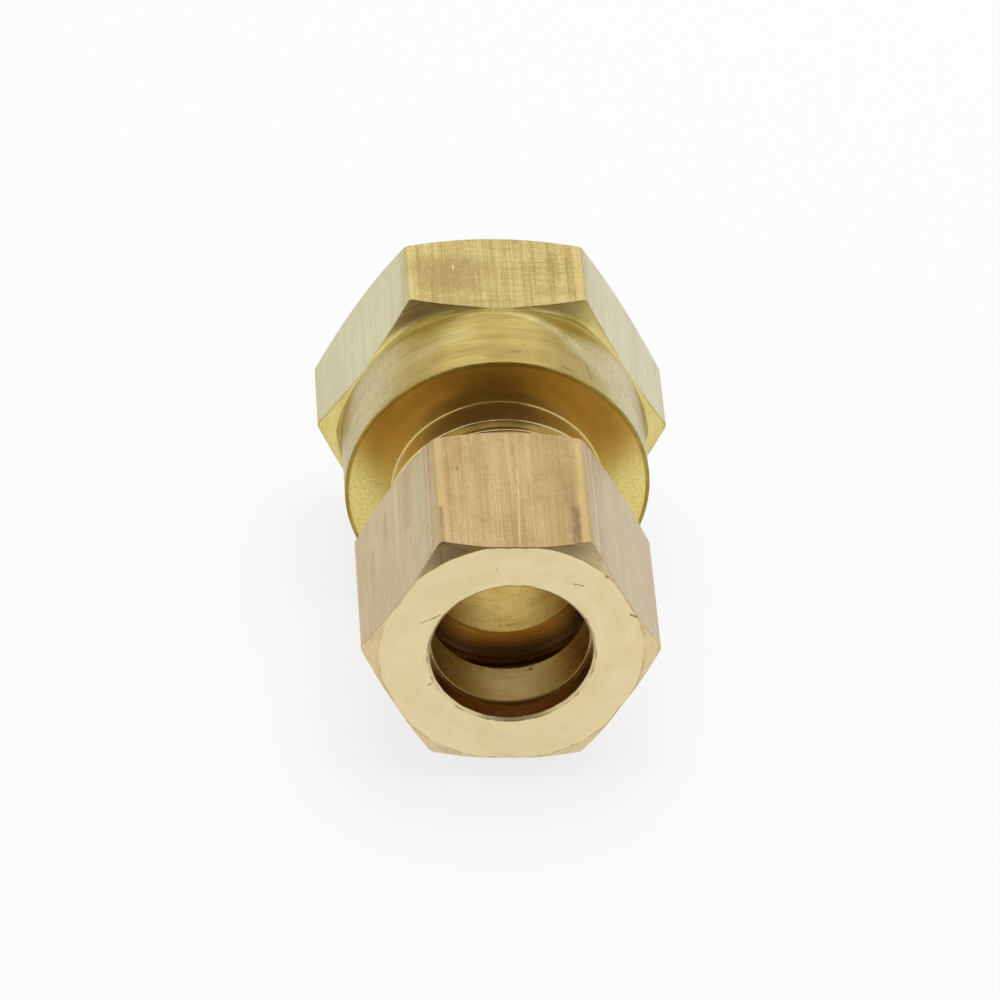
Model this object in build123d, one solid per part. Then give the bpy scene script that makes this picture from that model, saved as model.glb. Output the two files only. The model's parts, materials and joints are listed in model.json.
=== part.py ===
from build123d import *
import os
from math import cos, pi, radians, tan

# Compression female connector: a turned hex body, a compression nut and a ferrule.
# Millimetres. The axis is Y, the tube end points to -Y, and the origin is where the tube stops.

# Tube and the walls around it, from the axis outwards
tube_diameter = 9.525
socket_clearance = 0.07
ferrule_clearance = 0.07
nut_bore_clearance = 0.19
ferrule_lip = 0.27
ferrule_wall = 1.07
seat_margin = 0.05
male_wall = 2.38125
thread_depth = 0.6
thread_clearance = 0.05
nut_wall = 0.74375
shoulder_width = 2.33625
collar_inset = 0.045

# Pipe port
port_drill_diameter = 11.11
port_depth = 10.5
port_mouth_chamfer = 1.3
drill_point_angle = 118.0
stop_ledge = 0.9325
web_length = 2.1

# Lengths along the axis
hex_length = 7.6
collar_length = 5.95
relief_length = 2.6
male_length = 9.6
nut_gap = 5.2
nut_length = 11.95
nut_lip_length = 1.43
ferrule_length = 3.25
ferrule_seat_gap = 0.07

# Chamfers and rounds
hex_chamfer_angle = 30.0
seat_angle = 45.0
body_ring_margin = -0.02
nut_front_ring_margin = 0.1
nut_back_ring_margin = -0.05
corner_round = 0.25
collar_fillet = 0.6
lip_round = 0.2
male_end_chamfer = 0.5
nut_thread_chamfer = 0.3
nut_bore_chamfer = 0.17
ferrule_crown_round = 0.5

# Radii that follow
tube_radius = tube_diameter / 2
socket_radius = tube_radius + socket_clearance
ferrule_bore = tube_radius + ferrule_clearance
nut_bore = tube_radius + nut_bore_clearance
ferrule_lip_radius = ferrule_bore + ferrule_lip
ferrule_radius = ferrule_bore + ferrule_wall
seat_radius = ferrule_radius + seat_margin
thread_radius = tube_radius + male_wall
relief_radius = thread_radius - thread_depth
nut_thread_radius = thread_radius + thread_clearance
nut_flat = nut_thread_radius + nut_wall
collar_radius = thread_radius + shoulder_width
body_flat = collar_radius + collar_inset
port_radius = port_drill_diameter / 2
port_mouth_radius = port_radius + port_mouth_chamfer
through_radius = socket_radius - stop_ledge

# Heights above the port's mouth, measured towards the tube end
seat_slope = tan(radians(seat_angle))
drill_slope = tan(radians(90 - drill_point_angle / 2))
shoulder = hex_length + collar_length
relief_end = shoulder + relief_length
male_end = shoulder + male_length
seat_throat = male_end - (seat_radius - socket_radius) / seat_slope
port_bottom = port_depth + (port_radius - through_radius) * drill_slope
tube_stop = port_bottom + web_length
nut_back = shoulder + nut_gap
nut_front = nut_back + nut_length
nut_seat_throat = nut_front - nut_lip_length
nut_seat_end = nut_seat_throat - (nut_thread_radius - nut_bore) / seat_slope
ferrule_front = nut_seat_throat - (ferrule_lip_radius + ferrule_seat_gap - nut_bore) / seat_slope
ferrule_back = ferrule_front - ferrule_length


def half_section(points):
    """Half of a turned piece's section, the face that is revolved: corners of (radius, height)."""
    return make_face(Polyline([(radius, 0, height) for radius, height in points], close=True))


def rounded(section, radius, *corners):
    """The section with a round of that radius at each of the named corners."""
    for corner_radius, height in corners:
        place = Vector(corner_radius, 0, height)
        nearest = min(section.vertices(), key=lambda corner: (Vector(corner) - place).length)
        section = fillet(nearest, radius)
    return section


def hex_bar(flat, low, high):
    """Drawn hex bar with a flat on top and softened corners, from one height to another."""
    outline = RegularPolygon(flat, 6, major_radius=False)
    outline = fillet(outline.vertices(), corner_round)
    return Pos(0, 0, low) * extrude(outline, high - low)


def in_place(solid):
    """Lays the axis along Y, the tube end towards -Y, with the origin where the tube stops."""
    return Pos(0, tube_stop, 0) * Rot(90, 0, 0) * solid


def hex_chamfer(ring, flat):
    """Radius outside the hex's corners, and how far the chamfer has run back there."""
    outside = flat / cos(pi / 6) + corner_round
    return outside, (outside - ring) * tan(radians(hex_chamfer_angle))


def connector_body():
    """One turned piece: hex and collar, relief and male thread, tube socket, port and the web between."""
    ring = body_flat + body_ring_margin
    outside, drop = hex_chamfer(ring, body_flat)
    chamfer_foot = hex_length + (ring - collar_radius) * tan(radians(hex_chamfer_angle))
    section = half_section([
        (port_mouth_radius, 0),
        (ring, 0),
        (outside, drop),
        (outside, hex_length - drop),
        (collar_radius, chamfer_foot),
        (collar_radius, shoulder),
        (relief_radius, shoulder),
        (relief_radius, relief_end - thread_depth),
        (thread_radius, relief_end),
        (thread_radius, male_end - male_end_chamfer),
        (thread_radius - male_end_chamfer, male_end),
        (seat_radius, male_end),
        (socket_radius, seat_throat),
        (socket_radius, tube_stop),
        (through_radius, tube_stop),
        (through_radius, port_bottom),
        (port_radius, port_depth),
        (port_radius, port_mouth_chamfer),
    ])
    section = rounded(section, collar_fillet, (collar_radius, chamfer_foot))
    section = rounded(section, lip_round, (collar_radius, shoulder))
    return revolve(section, Axis.Z) & hex_bar(body_flat, 0, male_end)


def compression_nut():
    """Hex nut: smooth bore, cone that presses the ferrule, and the thread's plain envelope."""
    front_ring = nut_flat + nut_front_ring_margin
    back_ring = nut_flat + nut_back_ring_margin
    outside, front_drop = hex_chamfer(front_ring, nut_flat)
    back_drop = hex_chamfer(back_ring, nut_flat)[1]
    section = half_section([
        (nut_bore + nut_bore_chamfer, nut_front),
        (front_ring, nut_front),
        (outside, nut_front - front_drop),
        (outside, nut_back + back_drop),
        (back_ring, nut_back),
        (nut_thread_radius + nut_thread_chamfer, nut_back),
        (nut_thread_radius, nut_back + nut_thread_chamfer),
        (nut_thread_radius, nut_seat_end),
        (nut_bore, nut_seat_throat),
        (nut_bore, nut_front - nut_bore_chamfer),
    ])
    return revolve(section, Axis.Z) & hex_bar(nut_flat, nut_back, nut_front)


def ferrule():
    """Short sleeve, tapered at both ends so that either end fits either cone."""
    taper = (ferrule_radius - ferrule_lip_radius) / seat_slope
    section = half_section([
        (ferrule_bore, ferrule_back),
        (ferrule_lip_radius, ferrule_back),
        (ferrule_radius, ferrule_back + taper),
        (ferrule_radius, ferrule_front - taper),
        (ferrule_lip_radius, ferrule_front),
        (ferrule_bore, ferrule_front),
    ])
    section = rounded(
        section,
        ferrule_crown_round,
        (ferrule_radius, ferrule_back + taper),
        (ferrule_radius, ferrule_front - taper),
    )
    return revolve(section, Axis.Z)


os.makedirs("parts", exist_ok=True)
for piece in (connector_body, compression_nut, ferrule):
    solid = in_place(piece())
    export_step(solid, f"parts/{piece.__name__}.step")
    box = solid.bounding_box()
    print(f"{piece.__name__}: volume {solid.volume:.1f}, y {box.min.Y:.3f} to {box.max.Y:.3f}")
print(f"hexes {2 * body_flat:.3f} and {2 * nut_flat:.3f}, thread {2 * thread_radius:.4f}")
print(f"tube socket {tube_stop:.3f} to {seat_throat:.3f}, radius {socket_radius:.4f}")
print(f"ferrule travel to its seat {ferrule_back - male_end + seat_radius - ferrule_lip_radius:.3f}")
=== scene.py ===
# %% [markdown]
# A compression female connector joins a plain tube to a pipe thread. It is three pieces of brass:
# a hex body, a nut that screws on it, and a small ferrule inside the nut. The frame brings in the
# three solids at their real size, and this script gives them threads, edges, finish and light.
# Everything stands in metres round one axis, Y, with the tube end towards -Y.

# %% Load the frame
import json
from collections import namedtuple
from functools import partial
from math import atan, cos, pi, radians, sin, tan

import bpy
import numpy as np
from mathutils import Matrix, Vector


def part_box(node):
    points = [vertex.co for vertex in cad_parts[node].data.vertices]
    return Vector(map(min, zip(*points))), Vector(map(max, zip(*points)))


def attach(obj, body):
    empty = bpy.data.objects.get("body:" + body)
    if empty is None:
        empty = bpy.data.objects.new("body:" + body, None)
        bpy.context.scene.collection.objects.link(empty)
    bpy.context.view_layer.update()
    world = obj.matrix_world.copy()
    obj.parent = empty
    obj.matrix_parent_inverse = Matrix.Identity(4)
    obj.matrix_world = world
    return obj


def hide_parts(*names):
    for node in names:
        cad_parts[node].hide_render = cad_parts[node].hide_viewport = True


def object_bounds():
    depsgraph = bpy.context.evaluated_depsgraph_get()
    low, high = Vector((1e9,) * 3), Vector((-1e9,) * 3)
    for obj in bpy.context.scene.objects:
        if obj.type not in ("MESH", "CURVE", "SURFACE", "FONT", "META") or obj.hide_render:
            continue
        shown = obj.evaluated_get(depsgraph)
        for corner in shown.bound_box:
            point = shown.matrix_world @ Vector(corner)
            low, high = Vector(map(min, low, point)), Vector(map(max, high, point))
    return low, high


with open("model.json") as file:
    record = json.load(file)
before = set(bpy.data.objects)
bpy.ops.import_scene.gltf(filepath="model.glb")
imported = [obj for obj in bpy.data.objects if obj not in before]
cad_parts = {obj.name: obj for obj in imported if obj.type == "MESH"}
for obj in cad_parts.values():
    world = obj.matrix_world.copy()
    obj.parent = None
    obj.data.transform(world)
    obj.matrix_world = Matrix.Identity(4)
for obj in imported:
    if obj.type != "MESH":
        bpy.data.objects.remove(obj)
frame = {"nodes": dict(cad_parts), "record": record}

MM = 0.001
cad_low, cad_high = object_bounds()
print("frame nodes:", sorted(frame["nodes"]))

# %% [markdown]
# Sizes come first. What the frame can say is read from it: where each piece starts and ends, how far
# its flats stand from the axis, and the radii of the two mounts. The rest are the sizes a turner
# would have on the drawing, such as the collar, the relief and the chamfers.

# %% Sizes
body_low, body_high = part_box("connector_body")
nut_low, nut_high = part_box("compression_nut")
ferrule_low, ferrule_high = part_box("ferrule")
mounts = {mount["name"]: mount for mount in frame["record"]["mounts"]}

PORT_MOUTH_Y = body_high.y
MALE_END_Y = body_low.y
NUT_FRONT_Y = nut_low.y
NUT_BACK_Y = nut_high.y
BODY_FLAT = body_high.z
NUT_FLAT = nut_high.z
SOCKET_RADIUS = mounts["tube_socket"]["dims"]["r_mm"] * MM
TUBE_STOP_Y = mounts["tube_socket"]["pos_m"][1]
PORT_RADIUS = mounts["pipe_port"]["dims"]["r_mm"] * MM

HEX_LENGTH = 7.6 * MM
COLLAR_LENGTH = 5.95 * MM
SHOULDER_Y = PORT_MOUTH_Y - HEX_LENGTH - COLLAR_LENGTH
COLLAR_STEP = 0.045 * MM
COLLAR_RADIUS = BODY_FLAT - COLLAR_STEP
COLLAR_FILLET = 0.6 * MM
COLLAR_LIP = 0.2 * MM
THREAD_RADIUS = 7.14375 * MM
THREAD_DEPTH = 0.6 * MM
THREAD_PITCH = 25.4 / 24 * MM
THREAD_GAP = 0.05 * MM
RELIEF_LENGTH = 2.6 * MM
SEAT_RADIUS = 5.9525 * MM
MALE_END_CHAMFER = 0.5 * MM
THROUGH_RADIUS = 3.9 * MM
PORT_DEPTH = 10.5 * MM
PORT_MOUTH_CHAMFER = 1.3 * MM
WEB_LENGTH = 2.1 * MM
PIPE_PITCH = 25.4 / 18 * MM
NUT_BORE = 4.9525 * MM
NUT_BORE_CHAMFER = 0.17 * MM
NUT_LIP_LENGTH = 1.43 * MM
NUT_ENTRY_CHAMFER = 0.3 * MM
FERRULE_BORE = 4.8325 * MM
FERRULE_LIP = 0.27 * MM
CHAMFER_SLOPE = tan(radians(30))
BODY_CORNER_ROUND = 0.35 * MM
NUT_CORNER_ROUND = 0.45 * MM
print(f"body {PORT_MOUTH_Y - MALE_END_Y:.5f} m long, flats {2 * BODY_FLAT:.6f} and {2 * NUT_FLAT:.6f} m")

# %% [markdown]
# Every piece here was turned, and two of them from hex bar. Such a shape is one section repeated round
# the axis: a loop of corners, each a radius and a place along the axis. On a hex the radius changes
# from column to column, so the corners hold an array instead of a number. Real edges are never
# perfectly sharp, so each corner gets a small round, and that round is what catches the light. A row
# of points close beside each round keeps the wide faces flat in smooth shading.

# %% Columns and corners
Corner = namedtuple("Corner", "radius along round finish rows thread", defaults=(1, ""))
BEND_STEPS = 4
SUPPORT = 0.07 * MM
SIDE = radians(60)
SIDES = 6
COLUMNS_ACROSS_A_FLAT = 21
CORNER_COLUMNS = np.array([-1.4, -1.0, -0.62, -0.25, 0.25, 0.62, 1.0, 1.4])


def from_corner(angles):
    """Angle from the nearest corner of the hex."""
    return (angles + SIDE / 2) % SIDE - SIDE / 2


def corner_zone(flat, corner_round):
    """Half the angle, seen from the axis, that a softened hex corner takes up."""
    return SIDE / 2 - atan(tan(SIDE / 2) * (1 - corner_round / flat))


def hex_columns(flat, corner_round):
    """Angles round the axis: close together at the six corners and even across the flats."""
    near = CORNER_COLUMNS * corner_zone(flat, corner_round)
    across = np.linspace(near[-1], SIDE + near[0], COLUMNS_ACROSS_A_FLAT + 2)[1:-1]
    return np.concatenate([SIDE * k + np.concatenate([near, across]) for k in range(SIDES)])


def hex_radius(flat, corner_round, angles):
    """Distance from the axis to the hex at each angle, with its corners rounded."""
    apart = from_corner(angles)
    straight = flat / np.cos(SIDE / 2 - np.abs(apart))
    centre = (flat - corner_round) / cos(SIDE / 2)
    inside = np.maximum(corner_round**2 - (centre * np.sin(apart)) ** 2, 0)
    bend = centre * np.cos(apart) + np.sqrt(inside)
    return np.where(np.abs(apart) < corner_zone(flat, corner_round), bend, straight)


body_columns = hex_columns(BODY_FLAT, BODY_CORNER_ROUND)
nut_columns = hex_columns(NUT_FLAT, NUT_CORNER_ROUND)
print(len(body_columns), "columns round a hex")

# %% [markdown]
# A section becomes rows of points, one row for each step along it. A corner with a round gives several
# rows close together. A straight stretch gets a row near each end, or evenly spaced ones where a thread
# will be cut.

# %% Section to rows
SHORTEST = 1e-9
SHARPEST_HALF_TURN = 0.05
BEND_LIMIT = 0.45
SUPPORT_LIMIT = 0.3


def bent(before, corner, after, size):
    """Points of a round at a corner, limited by the two stretches that meet there."""
    back = before - corner
    ahead = after - corner
    back_length = np.maximum(np.linalg.norm(back, axis=1), SHORTEST)[:, None]
    ahead_length = np.maximum(np.linalg.norm(ahead, axis=1), SHORTEST)[:, None]
    turn = np.sum(back * ahead, axis=1)[:, None] / (back_length * ahead_length)
    half = np.arccos(np.clip(turn, -1, 1)) / 2
    room = BEND_LIMIT * np.minimum(back_length, ahead_length)
    reach = np.minimum(size / np.tan(np.maximum(half, SHARPEST_HALF_TURN)), room)
    first = corner + back / back_length * reach
    last = corner + ahead / ahead_length * reach
    steps = np.linspace(0, 1, BEND_STEPS + 1)
    return [(1 - s) ** 2 * first + 2 * s * (1 - s) * corner + s**2 * last for s in steps]


def section_rows(columns, corners):
    """All rows of a section: points, finish, nearness to an edge, and the thread they belong to."""
    places = [np.stack([c.radius + 0 * columns, c.along + 0 * columns], axis=1) for c in corners]
    count = len(corners)
    bends = [
        bent(places[k - 1], places[k], places[(k + 1) % count], c.round) if c.round else [places[k]]
        for k, c in enumerate(corners)
    ]
    rows = []
    for k, c in enumerate(corners):
        near_edge = 1.0 if c.round else 0.0
        rows += [(points, c.finish, near_edge, c.thread) for points in bends[k]]
        start = bends[k][-1]
        run = bends[(k + 1) % count][0] - start
        length = np.maximum(np.linalg.norm(run, axis=1), SHORTEST)[:, None]
        beside = np.minimum(SUPPORT / length, SUPPORT_LIMIT)
        shares = [beside, 1 - beside]
        if c.rows != 1:
            shares = np.linspace(0, 1, c.rows + 1)[1:-1]
        rows += [(start + run * share, c.finish, 0.0, c.thread) for share in shares]
    return rows


# %% [markdown]
# The rows are wound round the axis and joined by quads. The mesh closes on itself both ways, like a
# ring, so it has no seam and no loose edge. Each band of quads carries the finish of its stretch. Point
# attributes go with it: how near a point is to an edge of the section or to a corner of the hex, for
# wear, and which thread, if any, will be cut there.

# %% Rows to ring
def add_values(mesh, name, kind, values):
    """A point attribute with one value for each point."""
    layer = mesh.attributes.new(name, kind, "POINT")
    layer.data.foreach_set("value", values)


def into_scene(name, data):
    """A new object with that data, put in the scene."""
    item = bpy.data.objects.new(name, data)
    bpy.context.scene.collection.objects.link(item)
    return item


def ring_piece(name, columns, corners, finishes, hex_share):
    """A closed ring of quads from a section, with one material slot for each finish."""
    rows = section_rows(columns, corners)
    height, width = len(rows), len(columns)
    points = np.array([row[0] for row in rows])
    radius, along = points[..., 0], points[..., 1]
    places = np.stack([radius * np.cos(columns), along, radius * np.sin(columns)], axis=-1).reshape(-1, 3)
    index = np.arange(height * width).reshape(height, width)
    next_row = np.roll(index, -1, axis=0)
    ring = [index, np.roll(index, -1, axis=1), np.roll(next_row, -1, axis=1), next_row]
    quads = np.stack(ring, axis=-1).reshape(-1, 4)
    mesh = bpy.data.meshes.new(name)
    mesh.from_pydata(places.tolist(), [], quads.tolist())
    order = list(finishes)
    slots = np.repeat([order.index(row[1]) for row in rows], width)
    mesh.polygons.foreach_set("material_index", slots.astype(np.int32))
    mesh.polygons.foreach_set("use_smooth", np.ones(len(mesh.polygons), bool))
    add_values(mesh, "edge", "FLOAT", np.repeat([row[2] for row in rows], width).astype(np.float32))
    add_values(mesh, "corner", "FLOAT", np.tile(hex_share, height).astype(np.float32))
    for thread in sorted({row[3] for row in rows} - {""}):
        add_values(mesh, thread, "BOOLEAN", np.repeat([row[3] == thread for row in rows], width))
    for material in finishes.values():
        mesh.materials.append(material)
    mesh.update()
    piece = into_scene(name, mesh)
    print(f"{name}: {height} rows of {width} points, {2 * len(quads)} triangles")
    return piece


# %% [markdown]
# Node trees are easier to read when the wiring is short. These helpers add a node, feed a socket
# with a value or a link, and do one sum. A socket knows which tree it is in, so most of them need not
# be told. They serve the threads and the finishes alike.

# %% Node helpers
def feed(socket, value):
    """Sets a socket to a value, or links it if the value is another socket."""
    if isinstance(value, bpy.types.NodeSocket):
        socket.id_data.links.new(value, socket)
    else:
        socket.default_value = (*value, 1) if socket.type == "RGBA" else value


def put(tree, kind, inputs=None, **settings):
    """Adds a node, with its settings and its inputs by name or number."""
    node = tree.nodes.new(kind)
    for setting, value in settings.items():
        setattr(node, setting, value)
    for socket, value in (inputs or {}).items():
        feed(node.inputs[socket], value)
    return node


def calc(operation, *values):
    """One step of arithmetic, in the node tree of the sockets it is given."""
    tree = next(value.id_data for value in values if isinstance(value, bpy.types.NodeSocket))
    node = put(tree, "ShaderNodeMath", operation=operation)
    for socket, value in zip(node.inputs, values):
        feed(socket, value)
    return node.outputs[0]


add = partial(calc, "ADD")
minus = partial(calc, "SUBTRACT")
times = partial(calc, "MULTIPLY")


def vector_calc(operation, first, second=(0, 0, 0)):
    """One step of arithmetic on points."""
    return put(first.id_data, "ShaderNodeVectorMath", {0: first, 1: second}, operation=operation)


def ramp(value, low, high, to_low=0.0, to_high=1.0):
    """Value carried smoothly from one range to another, and held at both ends."""
    numbers = {"Value": value, "From Min": low, "From Max": high, "To Min": to_low, "To Max": to_high}
    return put(value.id_data, "ShaderNodeMapRange", numbers, interpolation_type="SMOOTHSTEP").outputs[0]


def polar(place):
    """Radius, place along the axis and angle from the top of a point, as a lathe sees it."""
    x, y, z = put(place.id_data, "ShaderNodeSeparateXYZ", {0: place}).outputs
    flat_place = put(place.id_data, "ShaderNodeCombineXYZ", {"X": x, "Z": z}).outputs[0]
    radius = vector_calc("LENGTH", flat_place).outputs["Value"]
    return radius, y, calc("ARCTAN2", x, z)


# %% [markdown]
# A thread follows a rule: the same groove, one pitch further along for each turn. It could be a
# profile swept along a helix and joined to the core, but then two solids overlap. Here Geometry Nodes
# cut it as the tool does. For each point the tree works out how deep the groove is at that angle and
# place, and moves the point to that radius only if metal is there. So the chamfered ends run out the
# way a real thread does, and one tree serves the male thread, the nut and the tapered pipe thread.

# %% Thread tree
THREAD_SIZES = ("Start", "Root Radius", "Depth", "Pitch", "Crest Share", "Root Share")
THREAD_SLOPES = ("Taper", "Lead Start", "Lead Slope")
THREAD_INPUTS = [
    ("Zone", "NodeSocketString"),
    *[(name, "NodeSocketFloat") for name in THREAD_SIZES + THREAD_SLOPES],
    ("Inside", "NodeSocketBool"),
    ("Finish", "NodeSocketMaterial"),
]


def thread_tree():
    """A right-hand thread about Y with a crest over the axis at its start, cut in the named zone."""
    tree = bpy.data.node_groups.new("cut_thread", "GeometryNodeTree")
    tree.interface.new_socket("Geometry", in_out="INPUT", socket_type="NodeSocketGeometry")
    for name, kind in THREAD_INPUTS:
        tree.interface.new_socket(name, in_out="INPUT", socket_type=kind)
    tree.interface.new_socket("Geometry", in_out="OUTPUT", socket_type="NodeSocketGeometry")
    given = put(tree, "NodeGroupInput").outputs
    place = put(tree, "GeometryNodeInputPosition").outputs[0]
    radius, y, angle = polar(place)
    past_start = minus(y, given["Start"])
    turns = calc("DIVIDE", angle, 2 * pi)
    steps = minus(calc("DIVIDE", past_start, given["Pitch"]), turns)
    from_groove = calc("ABSOLUTE", minus(calc("FRACT", steps), 0.5))
    rise = minus(times(from_groove, 2.0), given["Root Share"])
    shares = add(given["Crest Share"], given["Root Share"])
    form = calc("DIVIDE", rise, minus(1.0, shares))
    form = calc("MINIMUM", calc("MAXIMUM", form, 0.0), 1.0)
    past_lead = calc("MAXIMUM", minus(given["Lead Start"], y), 0.0)
    target = add(given["Root Radius"], times(form, given["Depth"]))
    target = add(target, times(past_start, given["Taper"]))
    target = minus(target, times(past_lead, given["Lead Slope"]))
    cuts = {"False": calc("MINIMUM", radius, target), "True": calc("MAXIMUM", radius, target)}
    choice = put(tree, "GeometryNodeSwitch", {"Switch": given["Inside"], **cuts}, input_type="FLOAT")
    share = calc("DIVIDE", choice.outputs[0], radius)
    outward = put(tree, "ShaderNodeCombineXYZ", {"X": share, "Y": 1.0, "Z": share}).outputs[0]
    moved = vector_calc("MULTIPLY", place, outward).outputs[0]
    zone = put(tree, "GeometryNodeInputNamedAttribute", {"Name": given["Zone"]}, data_type="BOOLEAN")
    inputs = {"Geometry": given["Geometry"], "Selection": zone.outputs["Attribute"], "Position": moved}
    cut = put(tree, "GeometryNodeSetPosition", inputs).outputs[0]
    whole = put(tree, "GeometryNodeRealizeInstances", {"Geometry": cut}).outputs[0]
    inputs = {"Geometry": whole, "Selection": zone.outputs["Attribute"], "Material": given["Finish"]}
    dressed = put(tree, "GeometryNodeSetMaterial", inputs).outputs[0]
    put(tree, "NodeGroupOutput", {"Geometry": dressed})
    return tree


CUT_THREAD = thread_tree()


def cut_thread(piece, **inputs):
    """Runs the thread tree on a piece and keeps the result as its plain mesh."""
    modifier = piece.modifiers.new("thread", "NODES")
    modifier.node_group = CUT_THREAD
    for item in CUT_THREAD.interface.items_tree:
        key = item.name.lower().replace(" ", "_")
        if item.in_out == "INPUT" and key in inputs:
            modifier[item.identifier] = inputs[key]
    graph = bpy.context.evaluated_depsgraph_get()
    mesh = bpy.data.meshes.new_from_object(piece.evaluated_get(graph))
    piece.modifiers.remove(modifier)
    piece.data = mesh
    print(f"{piece.name}: {inputs['zone']} cut, {len(mesh.polygons)} faces")


# %% [markdown]
# Bare brass is a metal with a coloured reflection: what it mirrors is tinted by its base colour. A
# single colour looks like plastic, so each finish below varies the tint, the roughness and the bump
# the way its tool left it. All of them start from this one shader. A thin clear film, as of oil and
# handling, is its coat, and it pales the flats that are seen at a low angle.

# %% Brass
FILM_ROUGHNESS = 0.35
FILM_INDEX = 1.7


def brass(name, film):
    """A metal material and its shader, ready for a finish."""
    material = bpy.data.materials.new(name)
    material.use_nodes = True
    shader = material.node_tree.nodes["Principled BSDF"]
    film_inputs = {"Coat Weight": film, "Coat Roughness": FILM_ROUGHNESS, "Coat IOR": FILM_INDEX}
    for socket, value in {"Metallic": 1.0, **film_inputs}.items():
        feed(shader.inputs[socket], value)
    return material, material.node_tree, shader


def mix_colour(amount, first, second):
    """From the first colour to the second as the amount goes from 0 to 1."""
    node = put(amount.id_data, "ShaderNodeMix", data_type="RGBA")
    for number, value in ((0, amount), (6, first), (7, second)):
        feed(node.inputs[number], value)
    return node.outputs[2]


def noise(vector, detail=2.0, distortion=0.0):
    """Smooth noise, about 0.5 on average, with features about one unit apart."""
    inputs = {"Vector": vector, "Scale": 1.0, "Detail": detail, "Distortion": distortion}
    return put(vector.id_data, "ShaderNodeTexNoise", inputs).outputs[0]


def object_place(tree):
    """The point on the piece, in metres."""
    return put(tree, "ShaderNodeTexCoord").outputs["Object"]


def per_metre(place, x, y, z):
    """The point in steps of so many a metre each way, so that a pattern runs along the smallest one."""
    return put(place.id_data, "ShaderNodeMapping", {"Vector": place, "Scale": (x, y, z)}).outputs[0]


def round_place(place, lines, wobble):
    """Radius and place along the axis in so many lines a metre, and only a little of the angle."""
    radius, y, angle = polar(place)
    scaled = {"X": times(radius, lines), "Y": times(y, lines), "Z": times(angle, wobble)}
    return put(place.id_data, "ShaderNodeCombineXYZ", scaled).outputs[0]


def mesh_value(tree, name):
    """One of the mesh's own point attributes."""
    return put(tree, "ShaderNodeAttribute", attribute_name=name).outputs["Fac"]


def dress(shader, colour, roughness, height, depth):
    """Feeds a finish into the shader: colour, roughness and a bump of that depth in metres."""
    feed(shader.inputs["Base Color"], colour)
    feed(shader.inputs["Roughness"], roughness)
    bump = put(shader.id_data, "ShaderNodeBump", {"Height": height, "Distance": depth, "Strength": 1.0})
    feed(shader.inputs["Normal"], bump.outputs[0])


# %% [markdown]
# A used fitting has marks of its own: a scratch, a nick, a smudge. The same strokes also paint some
# highlights, reflections and shade onto the brass. Each is a short stroke between two points on the
# surface. The shader measures how far a point is from that stroke, so a mark stays where it is from
# every side and needs no picture.

# %% Marks
Mark = namedtuple("Mark", "start end width strength colour")
DARK_MARK = (0.10, 0.06, 0.02)
MARK_CORE = 0.1
MARK_GAPS = (5200, 1700, 5200)


def stroke(place, mark):
    """Mask of one mark: its strength on the stroke, fading to 0 at its width."""
    start = Vector(mark.start)
    run = Vector(mark.end) - start
    offset = vector_calc("SUBTRACT", place, start).outputs[0]
    share = vector_calc("DOT_PRODUCT", offset, run / run.length_squared).outputs["Value"]
    share = calc("MINIMUM", calc("MAXIMUM", share, 0.0), 1.0)
    scaled = {0: run, "Scale": share}
    nearest = put(place.id_data, "ShaderNodeVectorMath", scaled, operation="SCALE").outputs[0]
    distance = vector_calc("DISTANCE", offset, nearest).outputs["Value"]
    return ramp(distance, mark.width, MARK_CORE * mark.width, 0.0, mark.strength)


def add_marks(place, colour, height, marks):
    """The colour and the bump with every mark of a list on them."""
    gaps = noise(per_metre(place, *MARK_GAPS))
    broken = ramp(gaps, 0.34, 0.58, 0.55, 1.0)
    for mark in marks:
        mask = times(stroke(place, mark), broken)
        colour = mix_colour(mask, colour, mark.colour)
        height = minus(height, mask)
    return colour, height


# %% [markdown]
# Hex bar is pulled through a die, and the die leaves fine lines along the bar. The flats keep that
# skin, because no tool touched them again. The lines are noise stretched along Y. A coarser noise
# lays the tarnish, another draws rubbed lines across it, and a sparse one makes the small pits. The
# side flats are painted paler, a painted sheen of the white table they mirror at a low angle.

# %% Drawn flats
FINE_LINES = (11000, 160, 11000)
LINES = (4300, 70, 4300)
BROAD_LINES = (900, 45, 900)
PATCHES = (330, 230, 330)
RUBBED_LINES = (4200, 2.4)
GRAIN = (6500, 4300, 6500)
PITS = (4600, 2300, 4600)
PIT = (0.20, 0.11, 0.04)
PIT_SHARE = 0.4
CORNER_WEAR = 0.45
EDGE_WEAR = 0.6
FLAT_ROUGHNESS = (0.30, 0.44)
FLAT_BUMP = 0.004 * MM
SIDE_SHEEN_START = 4.6 * MM
SIDE_SHEEN_END = 6.4 * MM
SIDE_SHEEN_SHARE = 0.55
CLEAR_SHARE = 0.22
PATCH_SHARE = 0.55
Drawn = namedtuple("Drawn", "clean tarnish corner edge side film rub")


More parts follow.
